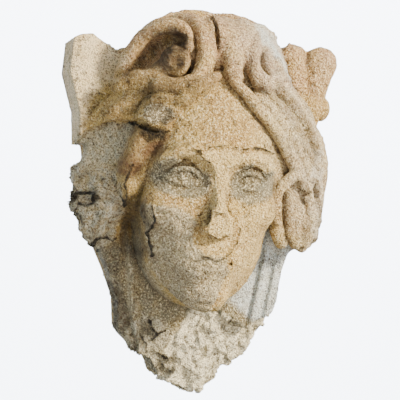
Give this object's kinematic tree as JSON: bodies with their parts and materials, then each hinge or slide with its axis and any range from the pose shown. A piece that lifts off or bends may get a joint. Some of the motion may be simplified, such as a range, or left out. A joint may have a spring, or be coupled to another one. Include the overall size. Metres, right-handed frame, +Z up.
{
  "type": "stone mascaron",
  "caption": "Weathered sandstone keystone carved as a woman's head with rolled curls, swept hair, flared corner leaves and a moulded, broken lower end.",
  "frame": {"origin": "on the flat back face, on the mid-plane and half way up the stone", "axes": "+Y out of the back face towards the wall, +Z up, +X to the right seen from the front; the face looks along -Y"},
  "size_m": [0.2903, 0.1598, 0.4001],
  "materials": {
    "sandstone": "weathered, rough, broken in places"
  },
  "bodies": {
    "root": {"mascaron": "sandstone"}
  },
  "joints": []
}
